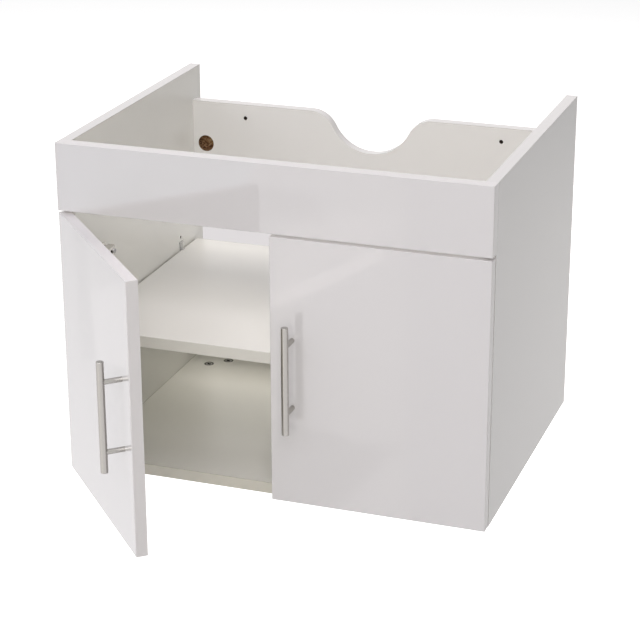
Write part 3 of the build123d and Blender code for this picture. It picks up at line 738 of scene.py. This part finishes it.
def melamine(board, thickness_axis):
    """The material of one board, which knows the board's box and thickness."""
    low, high = (tuple(corner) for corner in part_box(board))
    material, tree, shader = new_material("melamine " + board.replace("_", " "), SATIN)
    colour = uneven(tree, BOARD_WHITES_WITH_PAINTED_LIGHT.get(board, MELAMINE), FACE_DRIFT)
    rough = SATIN
    # Painted shade: the outward face of a side panel takes the darker outer colour.
    if board in OUTWARD:
        outside = math_node(tree, "GREATER_THAN", along_normal(tree, OUTWARD[board]), FACING)
        colour = mix_colours(tree, outside, colour, uneven(tree, OUTER_FACE_WITH_PAINTED_SHADE, OUTER_DRIFT))
        rough = mix_values(tree, outside, SATIN, OUTER_GLOSS)
    tape = uneven(tree, BANDS_WITH_PAINTED_SHADE.get(board, EDGE_BAND), TAPE_DRIFT)
    band = place_group(tree, band_group, Low=low, High=high, Thickness_axis=thickness_axis)
    colour = mix_colours(tree, band.outputs["Band"], colour, tape)
    rough = mix_values(tree, band.outputs["Band"], rough, BAND_GLOSS)
    colour = mix_colours(tree, band.outputs["Seam"], colour, (*GLUE_LINE, 1.0))
    mask, core = core_of(tree, board, low, high)
    colour = mix_colours(tree, mask, colour, core)
    rough = math_node(tree, "MAXIMUM", rough, math_node(tree, "MULTIPLY", mask, CORE_ROUGHNESS))
    tree.links.new(colour, shader.inputs["Base Color"])
    tree.links.new(rough, shader.inputs["Roughness"])
    skin = place_group(tree, skin_group, Pebble_scale=PEBBLES_PER_METRE, Pebble=1.0)
    add_bump(tree, shader, skin.outputs["Height"], MELAMINE_PEBBLE)
    return material


for board, axis in THICKNESS_AXES.items():
    paint(board, melamine(board, axis))
print("melamine boards:", len(THICKNESS_AXES))

# %% [markdown]
# The lacquered fronts have a hard clear coat over white. The backs of the doors are plain
# melamine like the carcass, and the narrow sides are lacquered but not polished. Object
# coordinates stay with the mesh as it was made, so the three kinds of face of a door can be told
# by the direction of their normal there, however far the door swings.

# %% Lacquered fronts
LACQUER = (0.775, 0.762, 0.758)
LACQUERED_EDGE = (0.860, 0.842, 0.828)
# The doors' top edges are set lighter than their other edges: painted light.
DOOR_TOP_EDGE_PAINTED_LIGHT = (0.960, 0.940, 0.930)
LACQUER_DRIFT = (0.015, 4.0)
LACQUERED_EDGE_DRIFT = (0.03, 20.0)
DOOR_BACK_DRIFT = (0.03, 5.0)
POLISHED = 0.05
RUBBED_DOWN = 0.22
COAT_ROUGHNESS = 0.015
LACQUER_RIPPLE = 0.05 * MM
BACK_FACING = 0.9
FRONT_FROM, FRONT_TO = -0.5, -0.9
LEFT_DOOR_OPEN = np.radians(48.0)
BACK_DIRECTIONS = {
    "left_door": (np.sin(LEFT_DOOR_OPEN), np.cos(LEFT_DOOR_OPEN), 0.0),
    "right_door": (0.0, 1.0, 0.0),
    "front_fascia": (0.0, 1.0, 0.0),
}


def lacquer(front, back_direction):
    """The material of one front: polished ahead, rubbed down at the sides, melamine behind."""
    material, tree, shader = new_material(
        "lacquer " + front.replace("_", " "),
        POLISHED,
        Coat_Weight=1.0,
        Coat_Roughness=COAT_ROUGHNESS,
    )
    backward = along_normal(tree, back_direction)
    behind = math_node(tree, "GREATER_THAN", backward, BACK_FACING)
    ahead = map_range(tree, backward, FRONT_FROM, FRONT_TO)
    edge = uneven(tree, LACQUERED_EDGE, LACQUERED_EDGE_DRIFT)
    # Painted light: the top edges of the doors get the lighter colour.
    if front != "front_fascia":
        painted_light_on_top = math_node(tree, "GREATER_THAN", along_normal(tree, (0.0, 0.0, 1.0)), FACING)
        edge = mix_colours(tree, painted_light_on_top, edge, (*DOOR_TOP_EDGE_PAINTED_LIGHT, 1.0))
    colour = mix_colours(tree, ahead, edge, uneven(tree, LACQUER, LACQUER_DRIFT))
    colour = mix_colours(tree, behind, colour, uneven(tree, MELAMINE, DOOR_BACK_DRIFT))
    tree.links.new(colour, shader.inputs["Base Color"])
    rough = map_range(tree, ahead, 0.0, 1.0, RUBBED_DOWN, POLISHED)
    rough = math_node(tree, "MAXIMUM", rough, math_node(tree, "MULTIPLY", behind, SATIN))
    tree.links.new(rough, shader.inputs["Roughness"])
    tree.links.new(ahead, shader.inputs["Coat Weight"])
    skin = place_group(
        tree, skin_group, Pebble_scale=160.0, Pebble=0.008, Ripple_scale=7.0, Ripple=1.0
    )
    add_bump(tree, shader, skin.outputs["Height"], LACQUER_RIPPLE)
    return material


for front, direction in BACK_DIRECTIONS.items():
    paint(front, lacquer(front, direction))
print("lacquered fronts:", len(BACK_DIRECTIONS))

# %% [markdown]
# Brushed steel has fine scratches around the bar. Noise that is squeezed along one axis gives
# them: it hardly changes around the bar and changes fast along it. The pressed and cast metals of
# the fittings have no such direction, so their noise isn't squeezed.

# %% Metals
# Nearly all the values of a noise texture lie between these two.
NOISE_LOW, NOISE_HIGH = 0.3, 0.7
SCRATCH_DETAIL = 3.0
SCRATCH_DEPTH = 0.02 * MM


def brushed(name, colour, roughness, stretch, scale, spread):
    """A metal whose scratches are a noise of Object coordinates times the stretch. Its roughness
    swings by the spread to either side."""
    material, tree, shader = new_material(name, roughness, colour, metallic=1.0)
    squeeze = add_node(tree, "ShaderNodeMapping")
    squeeze.inputs["Scale"].default_value = stretch
    tree.links.new(object_point(tree), squeeze.inputs["Vector"])
    scratches = add_node(tree, "ShaderNodeTexNoise")
    tree.links.new(squeeze.outputs[0], scratches.inputs["Vector"])
    scratches.inputs["Scale"].default_value = scale
    scratches.inputs["Detail"].default_value = SCRATCH_DETAIL
    height = scratches.outputs[0]
    dull, bright = roughness + spread, roughness - spread
    rough = map_range(tree, height, NOISE_LOW, NOISE_HIGH, bright, dull)
    tree.links.new(rough, shader.inputs["Roughness"])
    add_bump(tree, shader, height, SCRATCH_DEPTH)
    return material


ALIKE = (1.0, 1.0, 1.0)
UP_THE_BAR = (1.0, 1.0, 30.0)
CAM_ZINC_FACE = (0.80, 0.79, 0.76)
# Each has its colour and roughness, the stretch and the scale of its noise, and the spread.
handle_steel = brushed("brushed handle steel", (0.44, 0.425, 0.40), 0.17, UP_THE_BAR, 120.0, 0.05)
hinge_nickel = brushed("hinge nickel", (0.66, 0.64, 0.61), 0.22, ALIKE, 300.0, 0.04)
screw_steel = brushed("screw steel", (0.56, 0.56, 0.56), 0.32, ALIKE, 900.0, 0.06)
cam_zinc = brushed("cam zinc", CAM_ZINC_FACE, 0.30, ALIKE, 1200.0, 0.08)

for side in ("left", "right"):
    paint(side + "_handle_posts", handle_steel)
    for node in ("hinge_plates", "hinge_arms", "hinge_links", "hinge_cups"):
        paint(side + "_" + node, hinge_nickel)
    for node in ("adjusting_screws", "arm_pins", "cup_pins", "cup_screws", "handle_screws"):
        paint(side + "_" + node, screw_steel)
paint("hinge_plate_screws", screw_steel)
paint("cam_bolts", screw_steel)

# %% [markdown]
# ## The handle bars
# A handle bar is cut from drawn steel rod and its rims are broken with a file, so a thin bright
# ring runs round each end. A turned shape is a profile of radius and height carried round an axis.
# Here the profile runs out along one end, round the rim, along the bar and back, and the points at
# the two centres are merged, so that the skin is closed.

# %% Turned pieces
MERGE_DISTANCE = 1e-7


def turned(profile, steps):
    """Points (rows, columns, 3) of a turned shape: a row of the profile is (radius, height) and
    column v is an angle of v / steps turns, so x = radius cos, y = radius sin, z = height."""
    angle = np.arange(steps) * 2.0 * np.pi / steps
    radius, height = np.asarray(profile, float).T
    return np.stack(
        [
            np.outer(radius, np.cos(angle)),
            np.outer(radius, np.sin(angle)),
            np.repeat(height[:, None], steps, axis=1),
        ],
        axis=-1,
    )


def rounded_rim(radius, height, rim, steps, top):
    """A quarter circle of profile points between an end face and the side of a bar: the radius
    grows by rim sin t while the height leaves the face by rim - rim cos t. The top rim is the
    bottom one mirrored, and runs the other way."""
    angle = np.linspace(0.0, np.pi / 2, steps)
    out = radius - rim + rim * np.sin(angle)
    up = rim - rim * np.cos(angle)
    if top:
        out, up = out[::-1], -up[::-1]
    return np.column_stack([out, height + up])


def turned_mesh(name, grids, **values):
    """A closed mesh from turned grids: its poles are merged and its faces turned outward. Each
    named value is an array like the grids, kept on the mesh as an attribute of its points."""
    mesh = grid_mesh(name, grids, closed=True)
    for label, arrays in values.items():
        layer = mesh.attributes.new(label, "FLOAT", "POINT")
        layer.data.foreach_set("value", np.concatenate([array.ravel() for array in arrays]))
    work = bmesh.new()
    work.from_mesh(mesh)
    bmesh.ops.remove_doubles(work, verts=work.verts, dist=MERGE_DISTANCE)
    bmesh.ops.recalc_face_normals(work, faces=work.faces)
    open_edges = sum(len(edge.link_faces) != 2 for edge in work.edges)
    print(name, "faces:", len(work.faces), "open edges:", open_edges)
    work.to_mesh(mesh)
    work.free()
    mesh.shade_smooth()
    return mesh


def finish_piece(piece, material, body, node):
    """Paints a new piece, lets it ride on its body and hides the CAD node it stands for."""
    piece.data.materials.append(material)
    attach(piece, body)
    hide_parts(node)


# %% Handle bars
RIM = 0.7 * MM
RIM_STEPS = 6
BAR_RINGS = 5
BAR_STEPS = 96
for side in ("left", "right"):
    low, high = (np.array(corner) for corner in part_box(side + "_handle_bar"))
    centre = (low + high) / 2
    radius = (high[0] - low[0]) / 2
    half = (high[2] - low[2]) / 2
    profile = np.vstack(
        [
            [(0.0, -half), (radius - 2 * RIM, -half)],
            rounded_rim(radius, -half, RIM, RIM_STEPS, top=False),
            [(radius, z) for z in np.linspace(-half + 2 * RIM, half - 2 * RIM, BAR_RINGS)],
            rounded_rim(radius, half, RIM, RIM_STEPS, top=True),
            [(radius - 2 * RIM, half), (0.0, half)],
        ]
    )
    points = turned(profile, BAR_STEPS) + centre
    bar = add_object(side + "_bar", turned_mesh(side + "_bar", [points]))
    finish_piece(bar, handle_steel, side + "_door", side + "_handle_bar")

# %% [markdown]
# ## The cam locks
# A cam lock is a small zinc drum that a quarter turn pulls tight on its bolt. Only its face shows:
# a rim, a shallow ring, and a boss in the middle with a deep cross slot for the screwdriver. Its
# profile is turned like the bars, and the cross is then pressed into the boss as a height that
# depends on x and y. The drums' places are read from the CAD mesh, solid by solid.

# %% Where each cam lies
# Points that agree to this many decimals of a metre are one point.
DECIMALS = 6


def solid_boxes(node):
    """The low and high corners of each solid of a CAD node. Each point starts with its own number,
    every triangle passes its lowest number to its corners, and when nothing changes any more each
    solid is left with one number."""
    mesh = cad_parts[node].data
    mesh.calc_loop_triangles()
    points = np.empty(len(mesh.vertices) * 3)
    mesh.vertices.foreach_get("co", points)
    corners = np.empty(len(mesh.loop_triangles) * 3, int)
    mesh.loop_triangles.foreach_get("vertices", corners)
    points = np.round(points.reshape(-1, 3), DECIMALS)
    places, number = np.unique(points, axis=0, return_inverse=True)
    triangles = number.reshape(-1)[corners].reshape(-1, 3)
    label, settled = np.arange(len(places)), False
    while not settled:
        lowest = np.repeat(label[triangles].min(axis=1), 3)
        passed = label.copy()
        np.minimum.at(passed, triangles.ravel(), lowest)
        settled = np.array_equal(passed, label)
        label = passed
    solids = [places[label == n] for n in np.unique(label)]
    return [(solid.min(axis=0), solid.max(axis=0)) for solid in solids]


cam_boxes = solid_boxes("cam_locks")
print("cam locks:", len(cam_boxes))

# %% Cam faces
CAM_ROUND = 0.9 * MM
RIM_WIDTH = 1.8 * MM
RING_SUNK = 0.5 * MM
DARK_BELOW = 1.6 * MM
BOSS_RADIUS = 4.3 * MM
BOSS_SUNK = 0.2 * MM
SLOPE = 0.3 * MM
CROSS_WIDTH = 3.3 * MM
CROSS_REACH = 3.9 * MM
CROSS_DEPTH = 4.5 * MM
CROSS_EDGE = 0.25 * MM
CROSS_TURN = np.radians(45.0)
BOSS_RINGS = 19
CAM_STEPS = 72
# The profile's first rows are the drum's floor, its side and the edge of its rim, which stand in
# the gap between the drum and the board, so they get the painted shade in full.
GAP_ROWS = 6
# Edges that turn by more than this are shaded sharp.
SHARP_PAST = np.radians(40.0)


def cross_height(x, y):
    """Minus the depth of the cross: 1 inside either bar of the cross, 0 outside, with a slope at
    the edges, times the depth."""
    reach = np.clip((CROSS_REACH - np.hypot(x, y)) / CROSS_EDGE, 0.0, 1.0)
    inside = CROSS_WIDTH / 2 - np.minimum(np.abs(x), np.abs(y))
    bars = np.clip(inside / CROSS_EDGE + 0.5, 0.0, 1.0)
    return -CROSS_DEPTH * reach * bars


def cam_points(low, high):
    """One cam, turned about the shortest side of its box, with its face on the open side of the
    board: upward in the bottom panel, towards the middle of the cabinet in a side panel."""
    size = high - low
    along = int(np.argmin(size))
    radius, height = (size.sum() - size[along]) / 4, size[along]
    ring_out, ring_in = radius - RIM_WIDTH, BOSS_RADIUS
    outer = [(0.0, -height), (radius - CAM_ROUND, -height), (radius, CAM_ROUND - height)]
    outer += [(radius, -CAM_ROUND), (radius - CAM_ROUND, 0.0), (ring_out, 0.0)]
    ring = [(ring_out - SLOPE, -RING_SUNK), (ring_in + SLOPE, -RING_SUNK), (ring_in, -BOSS_SUNK)]
    boss = [(r, -BOSS_SUNK) for r in np.linspace(ring_in, 0.0, BOSS_RINGS)[1:]]
    points = turned(outer + ring + boss, CAM_STEPS)
    first = len(outer) + len(ring)
    points[first:, :, 2] += cross_height(points[first:, :, 0], points[first:, :, 1])
    sunk = np.clip(-points[:, :, 2] / DARK_BELOW, 0.0, 1.0)
    sunk[:GAP_ROWS] = 1.0
    centre = (low + high) / 2
    outward = 1.0 if along == 2 else -np.sign(centre[0])
    axis = np.eye(3)[along] * outward
    side = np.array([0.0, 1.0, 0.0])
    turn = np.column_stack([side, np.cross(axis, side), axis])
    cross_turn = np.array(Matrix.Rotation(CROSS_TURN, 3, "Z"))
    return points @ (turn @ cross_turn).T + centre + axis * height / 2, sunk


cam_grids, cam_depths = zip(*(cam_points(*box) for box in cam_boxes))
cams = add_object("cam_faces", turned_mesh("cam_faces", cam_grids, sunk=cam_depths))
cams.data.set_sharp_from_angle(angle=SHARP_PAST)
finish_piece(cams, cam_zinc, "carcass", "cam_locks")

# %% [markdown]
# The face of a cam is bright zinc, while the gap around it and its cross get painted shade: the
# zinc is darkened where the mesh is sunk. The mesh carries how far each point is sunk, as an
# attribute, and the zinc reads it.

# %% Painted shade in the cams
CAM_PAINTED_SHADE = (0.020, 0.019, 0.017)
DARK_FROM, DARK_TO = 0.15, 0.8
zinc_tree = cam_zinc.node_tree
sunk_value = add_node(zinc_tree, "ShaderNodeAttribute", attribute_name="sunk").outputs["Fac"]
dark = map_range(zinc_tree, sunk_value, DARK_FROM, DARK_TO)
painted_shade_colour = mix_colours(zinc_tree, dark, (*CAM_ZINC_FACE, 1.0), (*CAM_PAINTED_SHADE, 1.0))
zinc_tree.links.new(painted_shade_colour, zinc_tree.nodes["Principled BSDF"].inputs["Base Color"])
print("share of the cams' points in the dark:", np.mean(np.array(cam_depths) > DARK_TO).round(2))

# %% [markdown]
# ## Dowels and shelf supports
# The dowels are beech and lie hidden in the boards. The shelf supports are clear plastic. Real
# refraction makes so small a part look dark grey, so they are a glossy plastic that lets part of
# the light straight through with Alpha, with a faint wave in their surface.

# %% Dowels and clear supports
BEECH = (0.60, 0.40, 0.22)
BEECH_GRAIN = (0.3, 90.0)
CLEAR = (0.90, 0.905, 0.90)
CLEAR_WAVE = 0.05 * MM
beech, beech_tree, beech_shader = new_material("beech", roughness=0.6)
beech_tree.links.new(uneven(beech_tree, BEECH, BEECH_GRAIN), beech_shader.inputs["Base Color"])
paint("wooden_dowels", beech)

clear, clear_tree, clear_shader = new_material(
    "clear plastic", roughness=0.12, colour=CLEAR, Alpha=0.42, IOR=1.49
)
clear_skin = place_group(clear_tree, skin_group, Pebble_scale=150.0, Pebble=1.0)
add_bump(clear_tree, clear_shader, clear_skin.outputs["Height"], CLEAR_WAVE)
paint("shelf_supports", clear)
